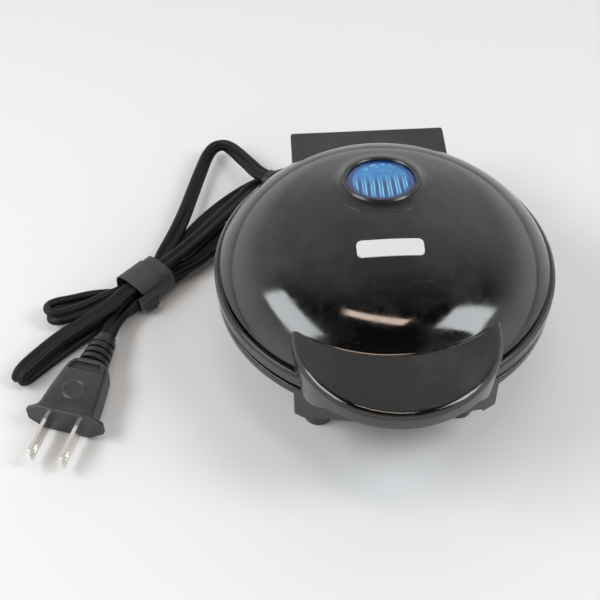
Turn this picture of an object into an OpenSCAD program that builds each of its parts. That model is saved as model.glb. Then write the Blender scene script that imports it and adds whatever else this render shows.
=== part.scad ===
// Small countertop donut maker: a domed lid hinged on a round base, with two half-ring baking plates,
// a flat two-core mains lead folded into a tied bundle, and a two-blade plug.
// Millimetres, +Z up. The origin lies on the table under the middle of the dome, the handle faces -Y.

/* [Body] */
// Diameter of the lid's band
body_d = 128; // [124:1:134]
// Height of the dome's crown above the table
crown_h = 70; // [68:0.5:73]
// Height of the plane where lid and base meet
parting_h = 39.5; // [38.5:0.25:40.5]
// Thickness of the moulded walls
wall = 2.2; // [1.8:0.1:2.5]
// Radius of the dome's flat crown
crown_r = 150; // [140:2:165]
// Radius of the dome's shoulder
shoulder_r = 35; // [32:0.5:37]
// Height of the band at the foot of the lid
band_h = 5.6; // [4.6:0.2:6.2]
// Width of the groove between band and dome
groove_w = 1.4; // [1:0.1:1.8]
// How far the dome stands back from the band
dome_step = 2.3; // [1.8:0.1:2.8]
// Half of the dark slit that shows between lid and base
slit_half = 1.5; // [1.2:0.1:1.8]
// How far the base rim stands back from the band
rim_step = 0.5; // [0.3:0.1:0.8]
// Height of the base's underside above the table
floor_h = 9; // [8:0.5:10]
// Height of the base's straight rim
rim_h = 3; // [2:0.25:4]
// How far the base bowl's side curves in towards its floor
bowl_in = 16; // [14:0.5:17]

/* [Handle] */
// Width of the handle
handle_w = 74; // [68:1:78]
// Reach of the handle in front of the dome's axis
handle_reach = 80; // [78:0.5:82]
// Height of the handle's flat top
handle_top = 57; // [55.5:0.5:58]
// Radius of the handle's rounded lip
handle_lip = 2.5; // [2:0.25:3.5]
// Thickness of the handle's walls
handle_wall = 2.4; // [2:0.1:2.8]
// Height of the arch under the handle's skirt
arch_h = 49.5; // [48:0.5:51]
// Half the width of the base's chin under the handle
chin_half = 36.5; // [34:0.5:38]
// Depth of the chin below the parting plane
chin_drop = 16.5; // [14:0.5:18]

/* [Hinge] */
// Half the width of the hinge hood
hood_half = 32; // [30:0.5:34]
// Distance of the hood's rear face behind the dome's axis
hood_rear = 78.5; // [77.5:0.25:80]
// Height of the hood's flat top
hood_top = 44.4; // [44:0.2:45.4]
// Height of the hood's lower edge
hood_low = 30; // [28:0.5:32]
// Thickness of the hood's walls
hood_wall = 2.5; // [2:0.1:2.8]
// Height of the hinge axis
pivot_h = 34; // [33.5:0.25:34.5]
// Distance of the hinge axis in front of the hood's rear face
pivot_in = 9; // [8.5:0.25:9.5]
// Radius of the hinge pins
pin_r = 2; // [1.75:0.125:2.25]
// Radius of the hinge knuckles
knuckle_r = 4.6; // [4.2:0.1:5]
// Half the gap between the base's two knuckles
knuckle_in = 12; // [10:1:14]
// Radial running clearance of the hinge pins
pin_play = 0.05; // [0.03:0.01:0.08]
// Clearance around the swinging hood
swing_gap = 0.6; // [0.4:0.1:0.9]

/* [Feet] */
// Distance of each foot from the centre, sideways
foot_x = 27; // [24:1:30]
// Distance of each foot from the centre, front to back
foot_y = 36; // [33:1:39]
// Radius of a foot where it leaves the base
foot_r = 7.5; // [6.5:0.25:8.5]
// Radius of the rubber pads
pad_r = 5.6; // [4.8:0.2:6]
// How far a rubber pad shows under its foot
pad_show = 1.5; // [1:0.25:2]
// Depth of a rubber pad inside its foot
pad_deep = 3; // [2:0.5:4]

/* [Baking plates] */
// Radius of a baking plate's face
plate_r = 53.2; // [51:0.2:54]
// Thickness of a baking plate
plate_t = 3; // [2.5:0.25:3.5]
// Gap between the closed plates
plate_gap = 0.6; // [0.4:0.1:1]
// Rings that a plate bakes
rings = 4; // [3:1:4]
// Distance of a ring's centre from the plate's centre
ring_out = 30.5; // [29.5:0.25:31]
// Radius of a ring at the middle of its dough
ring_r = 14; // [13:0.25:14.5]
// Radius of a ring's dough
dough_r = 7; // [6:0.25:7.25]
// Thickness of the casting around a ring
cast_t = 1.6; // [1.4:0.1:2]
// Radius of the heating element's tube
tube_r = 3.2; // [2.8:0.1:3.4]
// Radius of the heating element's ring
heat_r = 30.5; // [29:0.5:32]
// Thickness of the sheet metal
sheet_t = 0.8; // [0.5:0.1:1]
// Depth of the reflector below the plate's face
reflector_deep = 17.2; // [16.8:0.1:17.8]
// Radius of the reflector's floor
reflector_r = 47.2; // [46.6:0.2:48]
// Distance of the plate screws from the centre
plate_screw_out = 39; // [38.4:0.2:39.4]
// Radius of the plate screws
plate_screw_r = 1.5; // [1.25:0.125:1.75]

/* [Plate rings] */
// Gap between the closed plate rings
ring_gap = 0.3; // [0.2:0.05:0.5]
// Thickness of a plate ring's lip
lip_t = 1.35; // [1.1:0.05:1.6]
// Width of a plate ring outside the plate's flange
rim_w = 5.1; // [4.8:0.1:5.4]
// Radius of the rim screws
rim_screw_r = 0.95; // [0.8:0.05:1.1]
// Length of the rim screws under their heads
rim_screw_l = 7.7; // [6.5:0.25:8]
// Clearance around pieces that drop into a housing
fit_gap = 0.2; // [0.1:0.05:0.3]

/* [Indicator] */
// Distance of the lens behind the dome's axis
lens_y = 20.3; // [18:0.25:22]
// Radius of the blue lens
lens_r = 12.6; // [11:0.2:13.4]
// Thickness of the lens
lens_t = 2.3; // [2:0.1:2.6]
// Width of the collar around the lens
collar_w = 2.2; // [1.8:0.1:2.6]
// How far the collar stands proud of the dome
collar_proud = 0.9; // [0.6:0.1:1.2]
// Ribs under the lens
lens_ribs = 7; // [5:1:9]
// Length of the lamp board
board_l = 36; // [34:0.5:38]
// Width of the lamp board
board_w = 11; // [9:0.5:12]

/* [Badge] */
// Length of the blank badge
badge_l = 24; // [20:0.5:26]
// Width of the blank badge
badge_w = 7.5; // [6:0.25:9]
// Distance of the badge in front of the dome's axis
badge_y = 15.5; // [14:0.25:17]
// Radius of the badge's corners
badge_corner = 2; // [1:0.25:2.75]

/* [Cord and plug] */
// Width of the flat cord
cord_w = 6.8; // [6.4:0.1:7]
// Thickness of the flat cord
cord_t = 3.4; // [3:0.1:3.5]
// Length of the strain relief outside the base
relief_l = 20; // [20:1:24]
// Radius of the strain relief at the base
relief_r = 4.6; // [4.2:0.1:5]
// Length of the plug's body
plug_l = 28; // [26:1:30]
// Width of the plug's face
plug_w = 31; // [28:0.5:33]
// Height of the plug's face
plug_h = 14; // [13:0.25:14.5]
// Distance between the plug's blades
blade_pitch = 12.7; // [12.7:0.1:12.8]
// Length of the plug's blades
blade_l = 17.85; // [16:0.05:18.2]
// Width of the plug's blades
blade_w = 6.35; // [6.1:0.05:6.5]
// Thickness of the plug's blades
blade_t = 1.5; // [1.4:0.05:1.65]
// Length of the wrapped cord tie
tie_l = 19; // [16:1:21]
// Width of the wrapped cord tie
tie_w = 17; // [16.8:0.2:18]
// Height of the wrapped cord tie
tie_h = 13.2; // [13:0.2:14.4]
// Thickness of the cord tie's strap
tie_t = 1; // [0.8:0.1:1.2]

/* [Hidden] */

// Body
body_r = body_d / 2;
dome_r = body_r - dome_step;
rim_r = body_r - rim_step;
cavity_r = rim_r - wall;
lid_low = parting_h + slit_half;
rim_top = parting_h - slit_half;
rim_low = rim_top - rim_h;
band_top = lid_low + band_h;
dome_low = band_top + groove_w;
groove_deep = 1.4;
groove_r = dome_r - groove_deep;
band_round = 1.0;
bowl_corner = 5;
crown_z = crown_h - crown_r;

// The shoulder's centre lies where its arc touches the crown from inside and ends at the dome's foot.
foot_far = norm([dome_r, dome_low - crown_z]);
centre_far = crown_r - shoulder_r;
foot_turn = acos((centre_far * centre_far + foot_far * foot_far - shoulder_r * shoulder_r)
    / (2 * centre_far * foot_far));
blend_turn = atan2(dome_r, dome_low - crown_z) - foot_turn;
shoulder_x = centre_far * sin(blend_turn);
shoulder_z = crown_z + centre_far * cos(blend_turn);
foot_end = atan2(dome_r - shoulder_x, dome_low - shoulder_z);
crown_steps = 6;
shoulder_steps = 14;

// Handle
handle_r = handle_w / 2;
handle_y = -(handle_reach - handle_r);
handle_in = 1.4;
lip_steps = 6;
rim_clear = 0.6;

// Hinge
pivot_y = hood_rear - pivot_in;
hood_corner = 4;
hood_chamfer = 2;
swing_r = norm([pivot_in - hood_chamfer, hood_top - pivot_h]);
trough_r = swing_r + swing_gap;
ear_front = 8.5;
knuckle_gap = 0.3;
lid_knuckle = hood_half - hood_wall - 5.5;
base_knuckle = lid_knuckle - knuckle_gap;
pin_end = hood_half - 1.2;
arm_drop = 3.6;

// Plates, measured as depths from the parting plane
face_in = plate_gap / 2;
lip_in = ring_gap / 2;
lip_out = lip_in + lip_t;
plate_back = face_in + plate_t;
flange_r = cavity_r - fit_gap - rim_w - fit_gap * 2;
ring_out_r = cavity_r - fit_gap;
ring_in_r = ring_out_r - rim_w;
lip_r = plate_r + fit_gap * 2;
sheet_back = plate_back + sheet_t;
ledge_t = 2;
ledge_r = flange_r - 1.2;
screw_out = ring_out_r - rim_w / 2;
rim_head_r = 1.9;
rim_head_t = 1.4;
rim_head_in = lip_in + 0.25;
rim_seat = rim_head_in + rim_head_t;
rim_boss_r = 2.6;
rim_screw_end = rim_seat + rim_screw_l;
heat_in = face_in + dough_r + 1.1 + tube_r;
pan_in = face_in + reflector_deep;
pan_out = pan_in + sheet_t;
pan_top_r = flange_r - 1.6;
boss_r = 3.8;
plate_screw_in = 9;
screw_head_r = 2.8;
screw_head_t = 2;
groove_play = 0.05;
leg_turn = 12;
leg_r = 2.6;
leg_hole_r = leg_r + 0.6;
leg_out = pan_out + 1.7;
contact_r = 1.1;
contact_out = leg_out + 4;

// Wiring in the base
core_r = 1.3;
terminal_x = heat_r * sin(leg_turn);
terminal_y = 34;
terminal_d = 9;
wire_h = floor_h + wall + 4.4;

// Indicator, in a frame whose Z axis runs out through the crown's centre and the lens
lens_tilt = asin(lens_y / crown_r);
collar_r = lens_r + collar_w;
seat_in = 1;
bezel_play = 0.1;
bezel_low = crown_r - 3.4;
lens_low = bezel_low + 0.8;
board_top = crown_r - 7.2;
board_t = 1.2;
post_out = board_l / 2 - 3;
post_r = 2;
board_screw_r = 0.9;

// Badge
badge_tilt = asin(badge_y / crown_r);
badge_seat = crown_r - 0.9;
badge_proud = 0.3;

// Cord: each row is a point of the centre line, then the direction of the cord's width there
route = [
    [-43, 87, 11.2, 6, 8, 0], [-46.9, 90.9, 10.5, 6, 6, 3], [-51, 97.8, 9.6, 4, 4, 6],
    [-55, 104.6, 8.6, 4, 3, 7], [-58.8, 110.6, 7.6, 3, 0, 9], [-63, 114.4, 6.6, 0, -3, 9],
    [-67, 113, 6.2, -2, -2, 9], [-70, 107.6, 6, -4, -1, 9], [-72.6, 99, 5.8, -5, 1, 8],
    [-76, 86, 5.8, -6, 2, 8], [-79.6, 71.6, 6, -6, 3, 7], [-83.4, 58.4, 6.6, -6, 5, 4],
    [-87.6, 47.6, 6.6, -7, 7, 1], [-91.6, 39, 6.4, -7, 7, 0], [-104.4, 26.4, 6.4, -7, 7, 0],
    [-111, 22.2, 6.4, -5, 6, 4], [-118.6, 17.6, 6.6, -3, 6, 7], [-126, 14, 7, -3, 6, 7],
    [-130.8, 13, 7, -3, 6, 7], [-133.8, 14.6, 6.8, -3, 6, 7], [-134, 18.2, 6.2, -3, 6, 7],
    [-131, 20.4, 5.8, -3, 6, 7], [-126, 21.8, 5.4, -3, 6, 7], [-118, 24.4, 4.6, -3, 6, 7],
    [-111.4, 26.2, 3.4, -5, 6, 3], [-104.4, 27, 2.8, -7, 7, 0], [-91.8, 39.2, 2.8, -7, 7, 0],
    [-84.8, 50, 2.2, -7, 6, 0], [-74.6, 65.4, 1.9, -7, 6, 0], [-67.6, 74.2, 1.9, -7, 6, 0],
    [-60, 82, 1.9, -7, 7, 0], [-52, 88.6, 1.9, -6, 8, 0], [-43, 94.2, 1.9, -4, 8, 0],
    [-33, 98.2, 2.2, -3, 9, 0], [-24, 100, 3.4, -1, 8, -4], [-15.6, 100, 4, 0, 0, -1],
    [-9.8, 97.6, 4, 0, 0, -1], [-7.4, 92, 4, 0, 0, -1], [-9.8, 86.4, 4, 0, 0, -1],
    [-15.6, 84, 4, 0, -1, -9], [-24.6, 85.6, 4.8, -1, -8, -3], [-34, 88.2, 5.4, 1, -9, 0],
    [-42.5, 88.4, 5.5, 4, -9, 0], [-49.4, 85.2, 5.8, 7, -7, 0], [-57, 74.8, 7, 8, -6, 0],
    [-66.6, 61.6, 8.4, 8, -6, 0], [-76.4, 48.6, 9.6, 7, -6, 0], [-88.4, 35.6, 10.1, 7, -7, 0],
    [-101.4, 23.4, 10.1, 7, -7, 0], [-109, 15.6, 9.2, 7, -7, 0], [-119, 9, 7.6, 6, -7, 0],
    [-129, 1, 7.3, 7, -7, 0], [-137.6, -8.4, 7.3, 8, -7, 0], [-141.6, -13.8, 7.2, 8, -6, 0],
    [-143.4, -16.2, 4.6, 8, -6, 0], [-141.6, -13.8, 2, 8, -6, 0], [-137.4, -9.6, 1.9, 8, -7, 0],
    [-124, 3.4, 1.9, 7, -7, 0], [-111.4, 13.6, 1.9, 7, -7, 0], [-100, 21.6, 2.6, 7, -7, 0],
    [-86.6, 34, 2.8, 7, -7, 0], [-77.4, 44.4, 1.9, 7, -6, 0], [-67, 57.6, 1.9, 7, -6, 0],
    [-60.6, 64, 2.6, 6, -7, 2], [-54, 67.6, 3.6, 2, -6, 7], [-48.6, 68, 4, 0, 0, 1],
    [-43, 65, 4, 0, 0, 1], [-40.8, 59.4, 4, 0, 0, 1], [-43.4, 53.8, 4, 0, 0, 1],
    [-49.6, 51.8, 4, 0, 1, 9], [-58, 53, 4.8, -2, 6, 7], [-65.8, 50.4, 5.6, -6, 8, 0],
    [-75.2, 41.6, 5.7, -7, 7, 0], [-86.4, 33.4, 6.4, -7, 7, 0], [-99.6, 21, 6.4, -7, 7, 0],
    [-104.8, 14.4, 5.8, -8, 6, 0], [-107.6, 8.4, 6.6, -9, 4, 0], [-108.9, 3.8, 7, -9, 3, 0],
    [-109.8, 1, 7, -9, 3, 0]
];
cord_sides = 10;

// Where the lead leaves the base, at the chamfered rear corner of its block
block_cut = 8.5;
gland_x = -(hood_half - block_cut / 2);
gland_y = hood_rear - block_cut / 2;
gland_h = 14;
gland_fall = 8;
gland_turn = 140;
gland_dir = [cos(gland_turn) * cos(gland_fall), sin(gland_turn) * cos(gland_fall), -sin(gland_fall)];
gland_point = [gland_x, gland_y, gland_h];
relief_flange = 1.6;
relief_gap = 1.2;

// Tie and plug
tie_x = -95.6;
tie_y = 30;
tie_turn = -46.2;
plug_x = -123.4;
plug_y = -39.8;
plug_turn = -18.5;
plug_relief = 15;
tie_corner = 2.6;

// Profiles

// The dome's outline from the crown down, moved in by a wall
function dome_line(inset) = concat(
    [for (i = [0 : crown_steps]) let (a = blend_turn * i / crown_steps)
        [(crown_r - inset) * sin(a), crown_z + (crown_r - inset) * cos(a)]],
    [for (i = [1 : shoulder_steps])
        let (a = blend_turn + (foot_end - blend_turn) * i / shoulder_steps)
        [shoulder_x + (shoulder_r - inset) * sin(a), shoulder_z + (shoulder_r - inset) * cos(a)]]
);

// The base bowl's curve from its floor up to its rim, moved in by a wall
function bowl_line(inset) = let (foot = rim_r - bowl_in - inset, low = floor_h + inset)
    concat(
        [for (i = [0 : 6]) let (a = 90 - 60 * i / 6)
            [foot - bowl_corner * tan(30) + bowl_corner * cos(a) * 0.9, low + bowl_corner * (1 - sin(a))]],
        [[rim_r - inset, rim_low]]
    );

module lid_solid() {
    rotate_extrude($fn = 160)
        polygon(concat(
            dome_line(0),
            [[groove_r, dome_low - groove_w / 3],
            [groove_r, band_top],
            [body_r - band_round, band_top],
            [body_r, band_top - band_round],
            [body_r, lid_low + band_round / 2],
            [body_r - band_round / 2, lid_low],
            [0, lid_low]]
        ));
}

module lid_cavity() {
    rotate_extrude($fn = 160)
        polygon(concat(
            [for (p = dome_line(wall)) if (p[0] < groove_r - wall) p],
            [[groove_r - wall, band_top - 0.4],
            [cavity_r, band_top - wall],
            [cavity_r, lid_low - 1],
            [0, lid_low - 1]]
        ));
}

module bowl_solid() {
    rotate_extrude($fn = 160)
        polygon(concat(
            [[0, floor_h]],
            bowl_line(0),
            [[rim_r, rim_top - band_round / 2],
            [rim_r - band_round / 2, rim_top],
            [0, rim_top]]
        ));
}

module bowl_cavity() {
    rotate_extrude($fn = 160)
        polygon(concat(
            [[0, floor_h + wall]],
            bowl_line(wall),
            [[cavity_r, rim_top + 1],
            [0, rim_top + 1]]
        ));
}

// The handle's body, moved in by a wall: half a turn of its outline, and its straight sides
function handle_line(inset) = let (r = max(handle_lip - inset, 0.5)) concat(
    [[0, lid_low - 5],
    [handle_r - handle_in - inset, lid_low - 5]],
    [for (i = [0 : lip_steps]) let (a = 90 * i / lip_steps)
        [handle_r - inset - r + r * cos(a), handle_top - inset - r + r * sin(a)]],
    [[0, handle_top - inset]]
);

module handle_form(inset) {
    translate([0, handle_y, 0])
        rotate([0, 0, 180])
        rotate_extrude(angle = 180, $fn = 160)
        polygon(handle_line(inset));
    for (side = [0, 1])
        mirror([side, 0, 0])
        translate([0, handle_y + 14, 0])
        rotate([90, 0, 0])
        linear_extrude(14)
        polygon(handle_line(inset));
}

// The opening that leaves the skirt as an arch between the handle's two sides
module handle_arch() {
    half = handle_r - 3;
    translate([0, -body_r + 12, 0])
        rotate([90, 0, 0])
        linear_extrude(60)
        polygon([
            [-half, lid_low - 12], [-half + 1, lid_low - 3.5], [-half + 4, lid_low + 1.5],
            [-half + 8, arch_h - 1.2], [-half + 13, arch_h],
            [half - 13, arch_h], [half - 8, arch_h - 1.2],
            [half - 4, lid_low + 1.5], [half - 1, lid_low - 3.5], [half, lid_low - 12]
        ]);
}

// A round-cornered plan, drawn from squares and circles
module round_plan(half, front, rear, corner) {
    translate([-half, front])
        square([2 * half, rear - front - corner]);
    translate([-half + corner, front])
        square([2 * (half - corner), rear - front]);
    for (side = [-1, 1])
        translate([side * (half - corner), rear - corner])
        circle(corner, $fn = 48);
}

module hood_form(inset) {
    front = 45;
    intersection() {
        translate([0, 0, hood_low - (inset > 0 ? 3 : 0)])
            linear_extrude(hood_top - inset - hood_low + (inset > 0 ? 3 : 0))
            round_plan(hood_half - inset, front, hood_rear - inset, hood_corner - inset / 2);
        rotate([90, 0, 90])
            translate([0, 0, -hood_half - 1])
            linear_extrude(2 * hood_half + 2)
            polygon([
                [front - 1, hood_top - inset],
                [hood_rear - inset - hood_chamfer, hood_top - inset],
                [hood_rear - inset, hood_top - inset - hood_chamfer],
                [hood_rear - inset, hood_low - 4],
                [pivot_y - ear_front + 3, hood_low - 4],
                [pivot_y - ear_front + 3, hood_low],
                [pivot_y - ear_front, lid_low],
                [front - 1, lid_low]
            ]);
    }
}

// The dome wall's upper parts, in the frame of the lens
module at_lens() {
    translate([0, 0, crown_z])
        rotate([-lens_tilt, 0, 0])
        children();
}

module at_badge() {
    translate([0, 0, crown_z])
        rotate([badge_tilt, 0, 0])
        children();
}

// Puts what is drawn as a depth from the parting plane into the lid or, turned over, into the base
module in_lid() {
    translate([0, 0, parting_h])
        children();
}

module in_base() {
    translate([0, 0, parting_h])
        mirror([0, 0, 1])
        children();
}

module around(count, out, first = 0) {
    for (i = [0 : count - 1])
        rotate([0, 0, first + i * 360 / count])
        translate([out, 0, 0])
        children();
}

module tube_along_x(x1, x2, r) {
    translate([x1, 0, 0])
        rotate([0, 90, 0])
        cylinder(h = x2 - x1, r = r, $fn = 64);
}

// Pieces shared by the lid and the base

module ledge_form() {
    translate([0, 0, sheet_back])
        difference() {
            cylinder(h = ledge_t, r = cavity_r + wall / 2, $fn = 160);
            translate([0, 0, -1])
                cylinder(h = ledge_t + 2, r = ledge_r, $fn = 160);
        }
    around(4, screw_out, 45)
        translate([0, 0, sheet_back])
        cylinder(h = rim_screw_end - sheet_back + 1, r = rim_boss_r, $fn = 48);
}

module ledge_bores() {
    around(4, screw_out, 45)
        translate([0, 0, sheet_back - 1])
        cylinder(h = rim_screw_end - sheet_back + 1.3, r = rim_screw_r + groove_play, $fn = 32);
}

module plate_ring() {
    difference() {
        rotate_extrude($fn = 160)
            polygon([
                [lip_r, lip_in],
                [ring_out_r, lip_in],
                [ring_out_r, sheet_back],
                [ring_in_r, sheet_back],
                [ring_in_r, lip_out],
                [lip_r, lip_out]
            ]);
        around(4, screw_out, 45) {
            cylinder(h = sheet_back + 1, r = rim_screw_r + 0.25, $fn = 32);
            cylinder(h = rim_seat, r = rim_head_r + 0.15, $fn = 32);
        }
    }
}

module ring_screws() {
    around(4, screw_out, 45) {
        translate([0, 0, rim_head_in])
            difference() {
                cylinder(h = rim_head_t, r = rim_head_r, $fn = 32);
                cross_slot(rim_head_r * 1.3, 0.7);
            }
        translate([0, 0, rim_seat - 0.01])
            cylinder(h = rim_screw_l, r = rim_screw_r, $fn = 32);
    }
}

module cross_slot(long, deep) {
    for (turn = [0, 90])
        rotate([0, 0, turn])
        translate([-long / 2, -0.35, -1])
        cube([long, 0.7, deep + 1]);
}

// A cast baking plate with half-ring moulds, a groove for the heating element and screw bosses
module baking_plate() {
    difference() {
        union() {
            translate([0, 0, face_in])
                cylinder(h = plate_t, r = plate_r, $fn = 160);
            translate([0, 0, lip_out])
                cylinder(h = plate_back - lip_out, r = flange_r, $fn = 160);
            around(rings, ring_out, 45)
                rotate_extrude($fn = 72)
                intersection() {
                    translate([ring_r, face_in])
                        circle(dough_r + cast_t, $fn = 64);
                    translate([0, face_in + plate_t / 2])
                        square([50, 30]);
                }
            translate([0, 0, face_in + plate_t / 2])
                difference() {
                    cylinder(h = heat_in - face_in - plate_t / 2, r = heat_r + tube_r + 1.3, $fn = 120);
                    translate([0, 0, -1])
                        cylinder(h = 30, r = heat_r - tube_r - 1.3, $fn = 120);
                }
            around(4, plate_screw_out)
                translate([0, 0, face_in + plate_t / 2])
                cylinder(h = pan_in - face_in - plate_t / 2, r = boss_r, $fn = 48);
            translate([0, 0, face_in + plate_t / 2])
                cylinder(h = plate_back + 7.2 - face_in - plate_t / 2, r = 5, $fn = 48);
        }
        around(rings, ring_out, 45)
            translate([0, 0, face_in])
            rotate_extrude($fn = 72)
            translate([ring_r, 0])
            circle(dough_r, $fn = 64);
        translate([0, 0, heat_in])
            rotate_extrude($fn = 120)
            translate([heat_r, 0])
            circle(tube_r + groove_play, $fn = 48);
        around(4, plate_screw_out)
            translate([0, 0, plate_screw_in])
            cylinder(h = pan_in - plate_screw_in + 1, r = plate_screw_r + groove_play, $fn = 32);
    }
}

module reflector_pan() {
    difference() {
        rotate_extrude($fn = 160)
            polygon([
                [0, pan_in],
                [reflector_r - 0.6, pan_in],
                [pan_top_r - 0.6, plate_back],
                [flange_r, plate_back],
                [flange_r, sheet_back],
                [pan_top_r, sheet_back],
                [reflector_r, pan_out],
                [0, pan_out]
            ]);
        around(4, plate_screw_out)
            translate([0, 0, pan_in - 1])
            cylinder(h = 4, r = plate_screw_r + 0.2, $fn = 32);
        for (side = [-1, 1])
            rotate([0, 0, 90 + side * leg_turn])
            translate([heat_r, 0, pan_in - 1])
            cylinder(h = 4, r = leg_hole_r, $fn = 32);
    }
}

module plate_screws() {
    around(4, plate_screw_out) {
        translate([0, 0, plate_screw_in + 0.3])
            cylinder(h = pan_out - plate_screw_in - 0.2, r = plate_screw_r, $fn = 32);
        translate([0, 0, pan_out])
            difference() {
                cylinder(h = screw_head_t, r = screw_head_r, $fn = 32);
                translate([0, 0, screw_head_t])
                    mirror([0, 0, 1])
                    cross_slot(screw_head_r * 1.3, 1);
            }
    }
}

module heating_element() {
    rotate([0, 0, 90 + leg_turn - 6])
        rotate_extrude(angle = 360 - 2 * leg_turn + 12, $fn = 120)
        translate([heat_r, heat_in])
        circle(tube_r, $fn = 48);
    for (side = [-1, 1])
        rotate([0, 0, 90 + side * leg_turn])
        translate([heat_r, 0, heat_in]) {
            cylinder(h = leg_out - heat_in, r = leg_r, $fn = 32);
            cylinder(h = contact_out - heat_in, r = contact_r, $fn = 32);
        }
}

// Base

module base_block() {
    translate([0, 0, floor_h])
        linear_extrude(pivot_h - floor_h - 2)
        polygon([
            [-hood_half, 40], [-hood_half, hood_rear - block_cut],
            [-hood_half + block_cut, hood_rear], [hood_half - block_cut, hood_rear],
            [hood_half, hood_rear - block_cut], [hood_half, 40]
        ]);
}

module block_cavity() {
    difference() {
        translate([0, 0, floor_h + wall])
            linear_extrude(pivot_h - floor_h)
            polygon([
                [-hood_half + wall, 40], [-hood_half + wall, hood_rear - block_cut - 0.9],
                [-hood_half + block_cut + 0.9, hood_rear - wall],
                [hood_half - block_cut - 0.9, hood_rear - wall],
                [hood_half - wall, hood_rear - block_cut - 0.9], [hood_half - wall, 40]
            ]);
        translate([0, pivot_y, pivot_h])
            tube_along_x(-hood_half - 2, hood_half + 2, trough_r + wall);
        translate([-50, 0, rim_top - 12])
            cube([100, rim_r - 1, 30]);
    }
}

module base_arm() {
    translate([0, pivot_y, pivot_h]) {
        tube_along_x(knuckle_in, base_knuckle, knuckle_r);
        rotate([90, 0, 90])
            translate([0, 0, knuckle_in])
            linear_extrude(base_knuckle - knuckle_in)
            polygon([
                [0, knuckle_r - 0.6], [-3, knuckle_r - 0.6], [rim_r - pivot_y - 7, rim_top - pivot_h],
                [rim_r - pivot_y - 7, -arm_drop], [-knuckle_r + 1.2, -arm_drop], [0, -1]
            ]);
    }
}

module foot_post() {
    translate([0, 0, pad_show])
        cylinder(h = floor_h + 9 - pad_show, r1 = foot_r - 1.4, r2 = foot_r, $fn = 64);
}

// The two lobes under the handle's sides, joined by an arch under its middle
module chin() {
    difference() {
        intersection() {
            translate([0, 0, parting_h - chin_drop])
                cylinder(h = chin_drop - slit_half - 1, r = rim_r, $fn = 160);
            translate([-chin_half, -body_r - 1, 0])
                cube([2 * chin_half, body_r - 38, parting_h]);
        }
        translate([0, 0, parting_h - chin_drop])
            scale([(chin_half - 5) / 10, 1, (chin_drop - 9) / 10])
            rotate([90, 0, 0])
            cylinder(h = body_r + 2, r = 10, $fn = 96);
    }
}

module gland_frame() {
    translate([gland_x, gland_y, gland_h])
        rotate([0, 0, gland_turn])
        rotate([0, 90 + gland_fall, 0])
        children();
}

module base_shell() {
    color("#15161a")
        difference() {
            union() {
                difference() {
                    union() {
                        bowl_solid();
                        chin();
                        difference() {
                            base_block();
                            translate([0, pivot_y, pivot_h])
                                tube_along_x(-hood_half - 2, hood_half + 2, trough_r);
                        }
                        for (x = [-foot_x, foot_x], y = [-foot_y, foot_y])
                            translate([x, y, 0])
                            foot_post();
                        for (side = [0, 1])
                            mirror([side, 0, 0])
                            base_arm();
                    }
                    bowl_cavity();
                    block_cavity();
                }
                intersection() {
                    in_base()
                        ledge_form();
                    bowl_solid();
                }
            }
            in_base()
                ledge_bores();
            for (x = [-foot_x, foot_x], y = [-foot_y, foot_y])
                translate([x, y, -1])
                cylinder(h = pad_show + pad_deep + 1, r = pad_r - 0.6, $fn = 48);
            translate([0, pivot_y, pivot_h])
                tube_along_x(-hood_half, hood_half, pin_r + pin_play);
            gland_frame()
                translate([0, 0, -6])
                cylinder(h = 12, r = relief_r - 0.4 + 0.05, $fn = 48);
        }
}

module foot_pads() {
    color("#202022")
        for (x = [-foot_x, foot_x], y = [-foot_y, foot_y])
            translate([x, y, 0]) {
                cylinder(h = pad_show, r = pad_r, $fn = 48);
                cylinder(h = pad_show + pad_deep, r = pad_r - 0.65, $fn = 48);
            }
}

module lower_ring() {
    color("#1b1c20")
        in_base()
        plate_ring();
}

module lower_ring_screws() {
    color("silver")
        in_base()
        ring_screws();
}

module lower_plate() {
    color("#2e2f31")
        in_base()
        baking_plate();
}

module lower_plate_screws() {
    color("silver")
        in_base()
        plate_screws();
}

module lower_reflector() {
    color("#c9ccce")
        in_base()
        reflector_pan();
}

module lower_heater() {
    color("#8d8a84")
        in_base()
        heating_element();
}

// A snap-disc thermostat between the plate's middle boss and the reflector
module thermostat() {
    top_in = plate_back + 7.2;
    color("#c8b48a")
        in_base() {
            translate([0, 0, top_in])
                cylinder(h = 1.6, r = 8.2, $fn = 64);
            translate([0, 0, top_in + 1.5])
                cylinder(h = pan_in - top_in - 1.5, r = 7.2, $fn = 64);
            for (side = [-1, 1])
                translate([side * 10 - 3.5, -3, top_in + 3])
                cube([7, 6, 0.8]);
        }
}

// A thermal fuse in its sleeve, held to the reflector by a folded clip
module thermal_fuse() {
    color("#b9b4a2")
        in_base()
        translate([0, -24, pan_out]) {
            translate([0, 0, 1.8])
                tube_along_x(-9, 9, 1.8);
            difference() {
                translate([-4, -3.2, 0])
                    cube([8, 6.4, 4.2]);
                translate([-5, -2.4, 0.8])
                    cube([10, 4.8, 2.6]);
            }
        }
}

// Screw terminals on the base's floor, where the lead and the heater's contacts meet
module terminal_block() {
    low = floor_h + wall;
    color("#e8e4da")
        difference() {
            union() {
                translate([-terminal_x - 4.7, terminal_y, low])
                    cube([2 * terminal_x + 9.4, terminal_d, 7.4]);
                translate([-terminal_x - 6.7, terminal_y + 2, low])
                    cube([2 * terminal_x + 13.4, terminal_d - 4, 1.6]);
            }
            for (x = [-terminal_x, terminal_x]) {
                translate([x, terminal_y - 1, wire_h])
                    rotate([-90, 0, 0])
                    cylinder(h = terminal_d + 2, r = core_r + 0.2, $fn = 32);
                translate([x, terminal_y + terminal_d / 2, wire_h])
                    cylinder(h = 4, r = 1.6, $fn = 32);
            }
        }
}

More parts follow.
